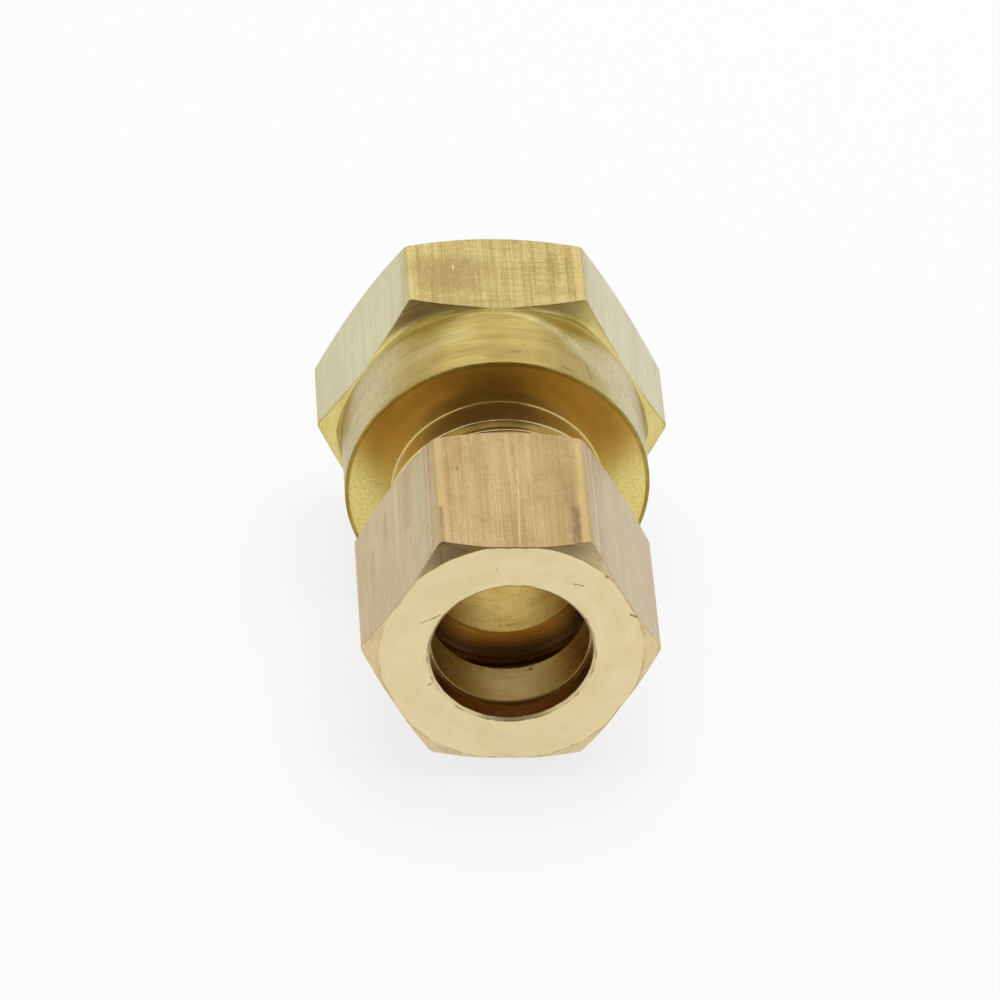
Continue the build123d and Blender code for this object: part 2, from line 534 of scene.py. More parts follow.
def drawn_flats(name, look, marks=()):
    """Skin of drawn hex bar: lines along the axis, tarnish, rubbing, grain and pits, with a painted sheen on
    the side flats.
    """
    material, tree, shader = brass(name, look.film)
    place = object_place(tree)
    line_steps = (FINE_LINES, LINES, BROAD_LINES, GRAIN)
    fine, line, broad, grain = [noise(per_metre(place, *steps)) for steps in line_steps]
    patch = noise(per_metre(place, *PATCHES), 3.0, 0.8)
    rubbed = noise(round_place(place, *RUBBED_LINES), 3.0)
    pits = ramp(noise(per_metre(place, *PITS), 1.0), 0.72, 0.80)
    rubbing = ramp(rubbed, 0.30, 0.66, 0.9 - 0.65 * look.rub, 0.9)
    amount = times(ramp(patch, 0.40, 0.74, 0.0, PATCH_SHARE), rubbing)
    parts = [(fine, 0.36), (line, 0.32), (broad, 0.24), (grain, 0.28), (rubbed, 0.22 * look.rub)]
    for pattern, share in parts:
        amount = add(amount, ramp(pattern, 0.36, 0.68, 0.0, share))
    colour = mix_colour(minus(amount, CLEAR_SHARE), look.clean, look.tarnish)
    across = calc("ABSOLUTE", put(tree, "ShaderNodeSeparateXYZ", {0: place}).outputs["X"])
    # Painted sheen: the colour turns paler away from the middle, over the side flats, where they mirror the
    # white table.
    colour = mix_colour(ramp(across, SIDE_SHEEN_START, SIDE_SHEEN_END, 0.0, SIDE_SHEEN_SHARE), colour, look.side)
    colour = mix_colour(times(pits, PIT_SHARE), colour, PIT)
    for value, share, worn in (("corner", CORNER_WEAR, look.corner), ("edge", EDGE_WEAR, look.edge)):
        colour = mix_colour(times(mesh_value(tree, value), share), colour, worn)
    lines = add(times(fine, 0.4), times(line, 0.3))
    lines = add(lines, times(grain, 0.3))
    roughness = ramp(lines, 0.3, 0.7, *FLAT_ROUGHNESS)
    colour, height = add_marks(place, colour, minus(lines, pits), marks)
    dress(shader, colour, roughness, height, FLAT_BUMP)
    return material


# %% [markdown]
# Turned faces carry rings instead of lines. The noise runs over the radius and the place along the
# axis, and hardly over the angle, so every ring goes right round. A fresh cut is paler and more
# matte than the drawn skin. The nut's bore is painted a dark brown, as painted shade inside it.

# %% Turned faces
RINGS = (9000, 0.6)
WIDE_RINGS = (1500, 1.5)
BRUSHED_RINGS = (6000, 5.0)
CLOUDS = (600, 600, 600)
SPECKS = (9000, 7000, 9000)
CHIPS = (1300, 1300, 1300)
MOST_WEAR = 0.85
TURNED_PARTS = "clean dull edge smooth rough depth film rings specks wear cloud"
Turned = namedtuple("Turned", TURNED_PARTS, defaults=(0.0, 1.0, 0.0, 0.6, 0.6))


def turned_face(name, look, marks=()):
    """Surface left by a lathe tool: rings, a little cloudiness, specks and worn edges."""
    material, tree, shader = brass(name, look.film)
    place = object_place(tree)
    rings = noise(round_place(place, *RINGS), 3.0)
    wide = noise(round_place(place, *WIDE_RINGS))
    brushed = noise(round_place(place, *BRUSHED_RINGS), 3.0)
    cloud = noise(per_metre(place, *CLOUDS), 4.0, 0.5)
    amount = ramp(cloud, 0.38, 0.68, 0.0, look.cloud)
    for pattern, low, high, share in (
        (brushed, 0.38, 0.70, 0.5),
        (rings, 0.40, 0.75, 0.4),
        (wide, 0.45, 0.75, 0.35),
    ):
        amount = add(amount, ramp(pattern, low, high, 0.0, share * look.rings))
    colour = mix_colour(calc("MINIMUM", amount, 1.0), look.clean, look.dull)
    specks = noise(per_metre(place, *SPECKS), 1.0)
    specks = ramp(specks, 0.58, 0.72, 0.0, look.specks)
    colour = mix_colour(specks, colour, PIT)
    chips = noise(per_metre(place, *CHIPS), 3.0)
    chips = ramp(chips, 0.42, 0.60, look.wear, MOST_WEAR)
    worn = times(mesh_value(tree, "edge"), chips)
    colour = mix_colour(worn, colour, look.edge)
    lines = add(times(rings, 0.5), times(wide, 0.5))
    roughness = ramp(lines, 0.3, 0.7, look.smooth, look.rough)
    colour, height = add_marks(place, colour, minus(lines, specks), marks)
    dress(shader, colour, roughness, height, look.depth * MM)
    return material


# %% [markdown]
# The seat is the cone that the ferrule is pressed into. Its colour is painted shade: bright at the
# socket's rim and darkening towards the thread, deep in the hollow, so its colour follows the radius.

# %% Seat cone
SEAT_RINGS = (6000, 0.8)
SEAT_ROUGHNESS = (0.22, 0.36)
SEAT_BUMP = 0.003 * MM


def seat_cone(name, rim_colour, shade_colour, radius_low, radius_high):
    """Cone painted with shade that darkens from its inner rim outwards."""
    material, tree, shader = brass(name, 0.0)
    place = object_place(tree)
    radius = polar(place)[0]
    rings = noise(round_place(place, *SEAT_RINGS), 3.0)
    colour = mix_colour(ramp(radius, radius_low, radius_high), rim_colour, shade_colour)
    dress(shader, colour, ramp(rings, 0.3, 0.7, *SEAT_ROUGHNESS), rings, SEAT_BUMP)
    return material


# %% [markdown]
# The body is a greenish yellow brass and the nut a pinker one, as when two bars come from different
# melts. The nut's end face is freshly cut and pale. Turned finishes go from a clean colour to a dull
# one, so those two stand together. The last rows are the colours of single marks.

# %% Brass colours
BODY_CLEAN = (0.535, 0.425, 0.148)
BODY_TARNISH = (0.305, 0.21, 0.025)
BODY_CORNER = (0.53, 0.39, 0.07)
BODY_EDGE = (0.28, 0.19, 0.03)
# Painted sheen: the pale colour of the body's side flats.
BODY_SIDE_SHEEN = (0.745, 0.745, 0.49)
COLLAR = ((0.46, 0.345, 0.075), (0.315, 0.215, 0.028))
LIP = (0.36, 0.235, 0.035)
CHAMFER = ((0.75, 0.63, 0.245), (0.64, 0.51, 0.16))
SHOULDER = ((0.64, 0.40, 0.103), (0.564, 0.338, 0.082))
# Painted reflection: the paler, greener gold of the shoulder's lower sides.
SHOULDER_LOW_REFLECTION = (0.78, 0.69, 0.25)
SHOULDER_FOOT = (0.84, 0.67, 0.30)
THREAD = ((0.70, 0.56, 0.26), (0.56, 0.43, 0.18))
RELIEF = ((0.66, 0.58, 0.36), (0.54, 0.46, 0.27))
PORT = ((0.88, 0.74, 0.42), (0.76, 0.60, 0.28))
NUT_CLEAN = (0.50, 0.352, 0.143)
NUT_TARNISH = (0.342, 0.212, 0.048)
NUT_CORNER = (0.54, 0.38, 0.15)
# Painted sheen: the pale colour of the nut's side flats.
NUT_SIDE_SHEEN = (0.625, 0.48, 0.24)
NUT_FACE = ((0.88, 0.74, 0.44), (0.79, 0.64, 0.345))
NUT_CHAMFER = ((0.78, 0.63, 0.35), (0.62, 0.47, 0.24))
NUT_EDGE = (0.40, 0.25, 0.10)
# Painted shade: the dark brown of the nut's bore.
BORE_SHADE = ((0.31, 0.145, 0.04), (0.21, 0.085, 0.03))
SOCKET = ((0.95, 0.77, 0.29), (0.82, 0.62, 0.18))
SOCKET_EDGE = (0.55, 0.33, 0.09)
FERRULE = ((0.97, 0.84, 0.46), (0.82, 0.66, 0.28))
RIM_EDGE = (0.55, 0.40, 0.22)
FERRULE_EDGE = (0.56, 0.39, 0.11)
SEAT_RIM = (0.50, 0.26, 0.06)
# Painted shade: the near-black of the seat's outer part.
SEAT_SHADE = (0.11, 0.058, 0.03)
GOLDEN = (0.58, 0.40, 0.10)
PALE_LINE = (0.74, 0.60, 0.36)
SMUDGE = (0.14, 0.075, 0.01)
SCRATCH = (0.19, 0.11, 0.02)
STAIN = (0.30, 0.18, 0.02)
# Painted reflection: the pale bands on the collar.
PALE_REFLECTION = (0.62, 0.55, 0.28)
# Painted highlight: the silvery band on the nut's left flat.
SILVERY_HIGHLIGHT = (0.52, 0.47, 0.26)
PINKISH = (0.52, 0.34, 0.17)
PALE_NICK = (0.80, 0.68, 0.36)
# Painted shade in the ferrule's bore, at its sides and its rear rim.
FERRULE_SHADE = (0.46, 0.22, 0.035)
FERRULE_RIM_SHADE = (0.42, 0.29, 0.10)
FERRULE_FLANK_SHADE = (0.38, 0.25, 0.07)
print("brass colours from", BODY_CLEAN, "on the body to", NUT_CLEAN, "on the nut")

# %% [markdown]
# A mark is placed the way one would measure it on the part: by millimetres on a flat or an end face,
# and by the angle round the axis where the surface is turned.

# %% Places on the part
def around(radius, degrees, y):
    """A point at a radius, by its angle from the top and its place along the axis, in metres."""
    turn = radians(degrees)
    return (radius * sin(turn), y, radius * cos(turn))


def on_nut_face(x, z):
    """A point of the nut's front face, given in millimetres."""
    return (x * MM, NUT_FRONT_Y, z * MM)


def on_nut_chamfer(degrees, back):
    """A point of the nut's front chamfer, by its angle from the top and so many millimetres back."""
    return around(NUT_FLAT + back * MM / CHAMFER_SLOPE, degrees, NUT_FRONT_Y + back * MM)


def on_top(flat, x, y):
    """A point of a top flat, with x and y in millimetres."""
    return (x * MM, y * MM, flat)


def on_nut_side(hand, up, y):
    """A point of the nut's left (-1) or right (1) upper flat, so far up from the flat's middle line."""
    x = NUT_FLAT * sin(SIDE) - up * MM * cos(SIDE)
    return (hand * x, y * MM, NUT_FLAT * cos(SIDE) + up * MM * sin(SIDE))


def on_ferrule(degrees, y):
    """A point of the ferrule's bore, by its angle from the bottom and its place along the axis."""
    turn = radians(degrees)
    return (FERRULE_BORE * sin(turn), y * MM, -FERRULE_BORE * cos(turn))


def on_collar(degrees, y):
    """A point of the collar, by its angle from the top and its place along the axis in millimetres."""
    return around(COLLAR_RADIUS, degrees, y * MM)


def on_shoulder(degrees):
    """A point half way out on the shoulder, by its angle from the top."""
    return around((COLLAR_RADIUS + THREAD_RADIUS) / 2, degrees, SHOULDER_Y)


on_nut_top = partial(on_top, NUT_FLAT)
on_body_top = partial(on_top, BODY_FLAT)
on_nut_left = partial(on_nut_side, -1)
on_nut_right = partial(on_nut_side, 1)

# %% [markdown]
# These are the marks that a buyer would see on the nut: scratches on its face, nicks on the chamfer, a
# smudge and a rubbed corner on the top flat, and a painted silvery highlight high on the left flat. Each
# row has a start, an end, a width in millimetres, a strength and a colour.

# %% Marks on the nut
def strokes(on, rows):
    """Marks from their rows, with their ends placed by one of the functions above."""
    return [Mark(on(*row[0]), on(*row[1]), row[2] * MM, *row[3:]) for row in rows]


face_marks = strokes(on_nut_face, [
    ((-5.57, 2.31), (-4.91, 2.61), 0.06, 0.7, DARK_MARK),
    ((-4.91, 2.61), (-4.44, 2.91), 0.07, 0.8, DARK_MARK),
    ((3.54, 5.24), (4.15, 5.1), 0.06, 0.8, DARK_MARK),
    ((7.09, 2.93), (7.52, 2.78), 0.14, 0.8, DARK_MARK),
    ((5.46, 5.79), (5.54, 5.75), 0.14, 0.8, DARK_MARK),
    ((-4.59, 7.01), (-4.39, 6.72), 0.09, 0.8, DARK_MARK),
    ((-4.95, -2.36), (-4.81, -2.24), 0.09, 0.8, DARK_MARK),
    ((-1.16, 6.45), (-1.12, 6.25), 0.08, 0.35, DARK_MARK),
])
chamfer_marks = strokes(on_nut_chamfer, [
    ((-33.5, 0.05), (-31.5, 0.45), 0.1, 0.8, DARK_MARK),
    ((-40.0, 0.1), (-37.0, 0.3), 0.12, 0.6, PALE_LINE),
    ((-22.0, 0.15), (-27.0, 0.4), 0.16, 0.5, NUT_EDGE),
    ((34.0, 0.2), (37.0, 0.35), 0.14, 0.5, NUT_EDGE),
])
nut_flat_marks = strokes(on_nut_top, [
    ((2.8, -6.0), (3.1, -16.4), 1.8, 0.48, STAIN),
    ((3.75, -13.2), (3.7, -16.4), 0.5, 0.8, SMUDGE),
    ((3.4, -10.6), (3.6, -13.6), 0.5, 0.4, SMUDGE),
    ((4.2, -6.4), (4.15, -16.4), 0.3, 0.55, GOLDEN),
    ((-4.1, -6.4), (-4.1, -16.0), 0.3, 0.18, GOLDEN),
    ((0.42, -9.1), (0.2, -16.8), 0.09, 0.4, PALE_LINE),
    ((-4.4, -13.0), (-4.4, -16.4), 0.22, 0.6, SMUDGE),
    ((-3.9, -8.0), (-3.9, -12.4), 0.3, 0.4, STAIN),
    ((-3.22, -8.8), (-3.22, -9.1), 0.14, 0.7, SMUDGE),
    ((0.23, -6.6), (0.23, -7.1), 0.24, 0.6, STAIN),
    ((-2.0, -8.9), (-1.4, -8.9), 0.12, 0.5, STAIN),
    ((3.4, -7.6), (4.0, -7.8), 0.16, 0.5, STAIN),
])
nut_flat_marks += strokes(on_nut_left, [
    # Painted highlight: the silvery band high on the left flat, near its corner with the top flat.
    ((2.9, -4.6), (2.8, -15.4), 1.0, 0.6, SILVERY_HIGHLIGHT),
    ((1.5, -5.0), (1.4, -11.0), 0.55, 0.4, STAIN),
    ((3.75, -5.4), (3.65, -16.2), 0.14, 0.6, PALE_LINE),
    ((0.28, -5.4), (0.05, -13.6), 0.13, 0.6, PALE_LINE),
    ((-1.0, -7.2), (-1.1, -9.4), 0.35, 0.4, STAIN),
    ((-2.6, -9.0), (-2.6, -13.0), 0.3, 0.3, STAIN),
])
nut_flat_marks += strokes(on_nut_right, [
    ((3.62, -5.4), (3.55, -16.2), 0.14, 0.65, PALE_LINE),
    ((-3.4, -7.4), (-3.6, -16.0), 1.5, 0.5, PINKISH),
])
print(len(face_marks) + len(chamfer_marks) + len(nut_flat_marks), "marks on the nut")

# %% [markdown]
# The body has stains on its top flat, and on the collar scratches and pale bands of painted reflection at
# its sides.
# The shoulder is painted a paler, greener gold low down, as a painted reflection. The ferrule's bore
# has painted shade: it is browner at both sides and along one rim.

# %% Marks on the body and the ferrule
body_flat_marks = strokes(on_body_top, [
    ((-4.4, 10.4), (-1.2, 10.2), 1.9, 0.75, STAIN),
    ((-4.2, 8.5), (-1.4, 8.4), 1.4, 0.7, STAIN),
    ((-3.6, 9.4), (-2.4, 9.4), 1.6, 0.3, STAIN),
    ((2.7, 7.7), (5.0, 7.9), 0.8, 0.4, STAIN),
    ((-4.0, 6.9), (-1.0, 6.7), 0.4, 0.35, STAIN),
    ((-2.63, 10.25), (-2.63, 10.6), 0.1, 0.7, PALE_NICK),
    ((-2.1, 10.95), (-1.7, 11.0), 0.1, 0.6, SMUDGE),
    ((4.72, 12.6), (4.86, 6.6), 0.17, 0.6, STAIN),
    ((5.1, 12.6), (5.2, 6.6), 0.18, 0.6, GOLDEN),
    ((-4.75, 12.6), (-4.75, 10.6), 0.14, 0.6, STAIN),
])
collar_marks = strokes(on_collar, [
    ((-1.0, 1.0), (14.0, 1.2), 1.1, 0.55, STAIN),
    ((3.0, 1.25), (6.5, 1.45), 0.11, 0.8, SCRATCH),
    ((7.6, 2.0), (9.0, 2.25), 0.11, 0.7, SCRATCH),
    ((34.0, 2.2), (35.8, 1.0), 0.14, 0.9, SCRATCH),
    ((31.0, 1.9), (32.4, 0.9), 0.11, 0.4, SCRATCH),
    ((22.5, 0.75), (27.0, 0.6), 0.14, 0.8, SCRATCH),
    # The pale rows are painted reflections: pale bands on the collar's fillet and sides, where it mirrors
    # the white room.
    ((3.0, 5.5), (12.0, 5.2), 0.2, 0.45, PALE_REFLECTION),
    ((12.0, 5.2), (21.0, 4.6), 0.45, 0.6, PALE_REFLECTION),
    ((21.0, 4.6), (30.0, 3.7), 0.75, 0.65, PALE_REFLECTION),
    ((30.0, 3.7), (42.0, 2.6), 1.4, 0.65, PALE_REFLECTION),
    ((-14.0, 3.6), (-30.0, 3.0), 1.2, 0.25, PALE_REFLECTION),
    ((58.0, 0.4), (50.0, 4.0), 3.6, 0.8, PALE_REFLECTION),
    ((-62.0, 0.4), (-52.0, 4.0), 3.6, 0.6, PALE_REFLECTION),
])
# Painted reflection: the shoulder's lower sides are painted a paler, greener gold where they mirror the
# white table.
shoulder_reflection_marks = strokes(on_shoulder, [
    ((-92,), (-125,), 4.6, 1.0, SHOULDER_LOW_REFLECTION),
    ((88,), (125,), 4.6, 1.0, SHOULDER_LOW_REFLECTION),
])
# Painted shade: the first three rows darken the bore's sides and its rear rim. The last is a smudge.
ferrule_marks = strokes(on_ferrule, [
    ((68, -16.0), (62, -12.0), 2.6, 0.8, FERRULE_SHADE),
    ((-34, -11.9), (14, -11.9), 2.0, 0.6, FERRULE_RIM_SHADE),
    ((-62, -16.0), (-50, -12.0), 3.4, 0.75, FERRULE_FLANK_SHADE),
    ((18.6, -12.5), (19.2, -12.6), 0.16, 0.9, SMUDGE),
])
body_marks = body_flat_marks + collar_marks + shoulder_reflection_marks
print(len(body_marks), "marks on the body and", len(ferrule_marks), "on the ferrule")

# %% [markdown]
# Now each stretch of a section gets its finish. A turned one has its colours first, then the two ends
# of its roughness and the depth of its rings in millimetres. After that come its film, how strong its
# rings and its specks are, how worn its edges are at least, and how cloudy it is.

# %% Finishes
# The painted shade on the seat cone is darkest this far out from the socket.
SEAT_SHADE_AFTER = 0.85 * MM
TURNED_LOOKS = {
    "body_collar": Turned(*COLLAR, BODY_EDGE, 0.26, 0.40, 0.005, 0.3, 0.9, cloud=0.3),
    "body_chamfer": Turned(*CHAMFER, BODY_EDGE, 0.24, 0.36, 0.001, 0.0, 0.8),
    "body_lip": Turned(COLLAR[0], LIP, BODY_EDGE, 0.24, 0.36, 0.003, 0.1, 0.8, 0.0, 0.3),
    "body_shoulder": Turned(*SHOULDER, SHOULDER_FOOT, 0.26, 0.34, 0.0003, 0.0, 0.3),
    "body_relief": Turned(*RELIEF, SHOULDER_FOOT, 0.18, 0.26, 0.0003, 0.0, 0.3),
    "body_end": Turned(SOCKET_EDGE, SEAT_RIM, SEAT_RIM, 0.24, 0.34, 0.002),
    "body_thread": Turned(*THREAD, BODY_EDGE, 0.14, 0.24, 0.002),
    "body_port": Turned(*PORT, BODY_EDGE, 0.18, 0.28, 0.002),
    "body_socket": Turned(*SOCKET, SOCKET_EDGE, 0.42, 0.56, 0.004, 0.0, 0.6, 0.3),
    "body_bore": Turned(*PORT, BODY_EDGE, 0.24, 0.38, 0.004),
    "nut_face": Turned(*NUT_FACE, NUT_EDGE, 0.42, 0.54, 0.003, 0.0, 0.3, 0.0, 0.0, 0.4),
    "nut_chamfer": Turned(*NUT_CHAMFER, RIM_EDGE, 0.26, 0.38, 0.005, 0.0, 0.6, 0.0, 0.1),
    "nut_bore": Turned(*BORE_SHADE, NUT_EDGE, 0.20, 0.32, 0.003, 0.0, 0.6),
    "nut_thread": Turned(*THREAD, NUT_EDGE, 0.22, 0.34, 0.002),
    "ferrule_turned": Turned(*FERRULE, FERRULE_EDGE, 0.34, 0.46, 0.004, 0.0, 0.8),
}
TURNED_MARKS = {
    "body_collar": collar_marks,
    "body_shoulder": shoulder_reflection_marks,
    "nut_face": face_marks,
    "nut_chamfer": chamfer_marks,
    "ferrule_turned": ferrule_marks,
}
BODY_FLAT_LOOK = Drawn(BODY_CLEAN, BODY_TARNISH, BODY_CORNER, BODY_EDGE, BODY_SIDE_SHEEN, 0.4, 1.0)
NUT_FLAT_LOOK = Drawn(NUT_CLEAN, NUT_TARNISH, NUT_CORNER, NUT_EDGE, NUT_SIDE_SHEEN, 0.45, 0.3)
finish = {name: turned_face(name, look, TURNED_MARKS.get(name, ())) for name, look in TURNED_LOOKS.items()}
finish["body_flats"] = drawn_flats("body_flats", BODY_FLAT_LOOK, body_flat_marks)
finish["nut_flats"] = drawn_flats("nut_flats", NUT_FLAT_LOOK, nut_flat_marks)
seat_end = SOCKET_RADIUS + SEAT_SHADE_AFTER
finish["body_seat"] = seat_cone("body_seat", SEAT_RIM, SEAT_SHADE, SOCKET_RADIUS, seat_end)
print(len(finish), "finishes")

# %% [markdown]
# The body is one piece of bar. From the port's mouth its section runs out over the end face, along
# the hex, down the chamfer into the collar, in at the shoulder to the relief, along the male thread,
# and back through the tube socket and the port. The chamfer and the small fillet at the collar are a
# cone and an arc, so where they end on a flat is worked out from the flat's distance at each column.

# %% Body section
EDGE = 0.035 * MM
FINE_EDGE = 0.04 * MM
EDGE_BREAK = 0.06 * MM
RELIEF_ROUND = 0.07 * MM
LIP_RUN = 1.3 * COLLAR_LIP
RING_STEP = 0.02 * MM
BODY_RING = BODY_FLAT - RING_STEP
ROWS_PER_PITCH = 24
CHAMFER_SHARES = (0.35, 0.6)
FILLET_SHARES = (0.78, 0.9, 0.97, 1.0)

RELIEF_END_Y = SHOULDER_Y - RELIEF_LENGTH
SEAT_THROAT_Y = MALE_END_Y + SEAT_RADIUS - SOCKET_RADIUS
PORT_BOTTOM_Y = TUBE_STOP_Y + WEB_LENGTH
PORT_END_Y = PORT_MOUTH_Y - PORT_DEPTH
PORT_START_Y = PORT_MOUTH_Y - PORT_MOUTH_CHAMFER
MALE_START_Y = MALE_END_Y + MALE_END_CHAMFER
FILLET_REACH = COLLAR_FILLET * tan(SIDE / 2)
FILLET_TOP = COLLAR_FILLET * (1 - cos(SIDE))


def blank_height(radius):
    """How far past the hex's end the chamfer and its fillet are, at a radius above the collar."""
    above = np.maximum(radius - COLLAR_RADIUS, 0)
    foot = (BODY_RING - COLLAR_RADIUS) * CHAMFER_SLOPE
    arc = foot + FILLET_REACH - COLLAR_FILLET * np.sqrt(1 - np.clip(1 - above / COLLAR_FILLET, 0, 1) ** 2)
    cone = (BODY_RING - radius) * CHAMFER_SLOPE
    return np.where(above < FILLET_TOP, arc, cone)


def rows_for(length, pitch):
    """Rows that give a thread of that pitch its shape over a length."""
    return max(2, round(abs(length) / pitch * ROWS_PER_PITCH))


def body_corners(columns):
    """The body's section, column by column, from the port's mouth round and back."""
    bar = hex_radius(BODY_FLAT, BODY_CORNER_ROUND, columns)
    ring = np.minimum(BODY_RING, bar - EDGE_BREAK)
    hex_end = PORT_MOUTH_Y - HEX_LENGTH
    relief = THREAD_RADIUS - THREAD_DEPTH
    ramp_rows = rows_for(THREAD_DEPTH, THREAD_PITCH)
    male_rows = rows_for(RELIEF_END_Y - MALE_START_Y, THREAD_PITCH)
    end_rows = rows_for(MALE_END_CHAMFER, THREAD_PITCH)
    port_rows = rows_for(PORT_START_Y - PORT_END_Y, PIPE_PITCH)
    mouth_rows = rows_for(PORT_MOUTH_CHAMFER, PIPE_PITCH)
    slope_radii = [bar + (COLLAR_RADIUS - bar) * share for share in CHAMFER_SHARES]
    fillet_radii = [bar + (COLLAR_RADIUS - bar) * share for share in FILLET_SHARES]
    return [
        Corner(PORT_RADIUS + PORT_MOUTH_CHAMFER, PORT_MOUTH_Y, EDGE, "chamfer"),
        Corner(ring, PORT_MOUTH_Y, EDGE, "chamfer"),
        Corner(bar, PORT_MOUTH_Y - (bar - ring) * CHAMFER_SLOPE, EDGE, "flats"),
        Corner(bar, hex_end - blank_height(bar), EDGE, "chamfer"),
        *[Corner(radius, hex_end - blank_height(radius), 0, "chamfer") for radius in slope_radii],
        *[Corner(radius, hex_end - blank_height(radius), 0, "collar") for radius in fillet_radii],
        Corner(COLLAR_RADIUS, SHOULDER_Y, COLLAR_LIP, "lip"),
        Corner(COLLAR_RADIUS - LIP_RUN, SHOULDER_Y, 0, "shoulder"),
        Corner(relief, SHOULDER_Y, RELIEF_ROUND, "relief"),
        Corner(relief, RELIEF_END_Y + THREAD_DEPTH, 0, "thread", ramp_rows, "male_thread"),
        Corner(THREAD_RADIUS, RELIEF_END_Y, 0, "thread", male_rows, "male_thread"),
        Corner(THREAD_RADIUS, MALE_START_Y, 0, "thread", end_rows, "male_thread"),
        Corner(THREAD_RADIUS - MALE_END_CHAMFER, MALE_END_Y, FINE_EDGE, "end"),
        Corner(SEAT_RADIUS, MALE_END_Y, FINE_EDGE, "seat"),
        Corner(SOCKET_RADIUS, SEAT_THROAT_Y, FINE_EDGE, "socket"),
        Corner(SOCKET_RADIUS, TUBE_STOP_Y, FINE_EDGE, "socket"),
        Corner(THROUGH_RADIUS, TUBE_STOP_Y, FINE_EDGE, "bore"),
        Corner(THROUGH_RADIUS, PORT_BOTTOM_Y, FINE_EDGE, "bore"),
        Corner(PORT_RADIUS, PORT_END_Y, 0, "port", port_rows, "pipe_thread"),
        Corner(PORT_RADIUS, PORT_START_Y, 0, "port", mouth_rows, "pipe_thread"),
    ]


body_section = body_corners(body_columns)
print(len(body_section), "corners in the body's section")

# %% [markdown]
# The section is swept round the axis, and each of its stretches has a material slot. Hex bar wears at
# its corners first, so every column also says how near it is to one.

# %% Body
CORNER_REACH = 2.2


def corner_share(columns, flat, corner_round):
    """How near each column is to a corner of the hex: 1 in the rounded zone, fading beside it."""
    zone = corner_zone(flat, corner_round)
    return np.clip(CORNER_REACH - np.abs(from_corner(columns)) / zone, 0, 1)


BODY_SLOTS = "flats chamfer collar lip relief end shoulder thread port seat socket bore".split()
body_finishes = {name: finish["body_" + name] for name in BODY_SLOTS}
body = ring_piece(
    "connector_body_finished",
    body_columns,
    body_section,
    body_finishes,
    corner_share(body_columns, BODY_FLAT, BODY_CORNER_ROUND),
)

# %% [markdown]
# The nut's section is shorter: a bore just over the tube, a cone that presses the ferrule, and the
# thread. Its bore is drawn here at the thread's inner radius, and the thread is then cut outwards.

# %% Nut
FRONT_RING_OVER = 0.1 * MM
BACK_RING_UNDER = 0.05 * MM
NUT_FRONT_RING = NUT_FLAT + FRONT_RING_OVER
NUT_BACK_RING = NUT_FLAT - BACK_RING_UNDER
NUT_MINOR = THREAD_RADIUS - THREAD_DEPTH + THREAD_GAP
NUT_MOUTH = THREAD_RADIUS + THREAD_GAP + NUT_ENTRY_CHAMFER


def nut_corners(columns):
    """The nut's section, from the rim of its bore round the outside and back through the thread."""
    bar = hex_radius(NUT_FLAT, NUT_CORNER_ROUND, columns)
    front = np.minimum(NUT_FRONT_RING, bar - EDGE_BREAK)
    back = np.minimum(NUT_BACK_RING, bar - EDGE_BREAK)
    throat = NUT_FRONT_Y + NUT_LIP_LENGTH
    cone_end = throat + NUT_MINOR - NUT_BORE
    entry = NUT_BACK_Y - (NUT_MOUTH - NUT_MINOR)
    return [
        Corner(NUT_BORE + NUT_BORE_CHAMFER, NUT_FRONT_Y, FINE_EDGE, "face"),
        Corner(front, NUT_FRONT_Y, EDGE, "chamfer"),
        Corner(bar, NUT_FRONT_Y + (bar - front) * CHAMFER_SLOPE, EDGE, "flats"),
        Corner(bar, NUT_BACK_Y - (bar - back) * CHAMFER_SLOPE, EDGE, "chamfer"),
        Corner(back, NUT_BACK_Y, EDGE, "face"),
        Corner(NUT_MOUTH, NUT_BACK_Y, 0, "thread", rows_for(NUT_BACK_Y - entry, THREAD_PITCH), "nut_thread"),
        Corner(NUT_MINOR, entry, 0, "thread", rows_for(entry - cone_end, THREAD_PITCH), "nut_thread"),
        Corner(NUT_MINOR, cone_end, FINE_EDGE, "bore"),
        Corner(NUT_BORE, throat, FINE_EDGE, "bore"),
        Corner(NUT_BORE, NUT_FRONT_Y + NUT_BORE_CHAMFER, FINE_EDGE, "face"),
    ]


NUT_SLOTS = "face chamfer flats thread bore".split()
nut_finishes = {name: finish["nut_" + name] for name in NUT_SLOTS}
nut = ring_piece(
    "compression_nut_finished",
    nut_columns,
    nut_corners(nut_columns),
    nut_finishes,
    corner_share(nut_columns, NUT_FLAT, NUT_CORNER_ROUND),
)

# %% [markdown]
# The ferrule is a short sleeve with a crowned back and two thin lips. When the nut is screwed up, the
# two cones squeeze those lips onto the tube.

# %% Ferrule
FERRULE_COLUMNS = 144
FERRULE_CROWN_ROUND = 0.5 * MM
ferrule_columns = np.linspace(0, 2 * pi, FERRULE_COLUMNS, endpoint=False)
lip = FERRULE_BORE + FERRULE_LIP
crown = ferrule_high.x
taper = crown - lip
ferrule_corners = [
    Corner(FERRULE_BORE, ferrule_low.y, FINE_EDGE, "turned"),
    Corner(lip, ferrule_low.y, FINE_EDGE, "turned"),
    Corner(crown, ferrule_low.y + taper, FERRULE_CROWN_ROUND, "turned"),
    Corner(crown, ferrule_high.y - taper, FERRULE_CROWN_ROUND, "turned"),
    Corner(lip, ferrule_high.y, FINE_EDGE, "turned"),
    Corner(FERRULE_BORE, ferrule_high.y, FINE_EDGE, "turned"),
]
ferrule = ring_piece(
    "ferrule_finished",
    ferrule_columns,
    ferrule_corners,
    {"turned": finish["ferrule_turned"]},
    0 * ferrule_columns,
)

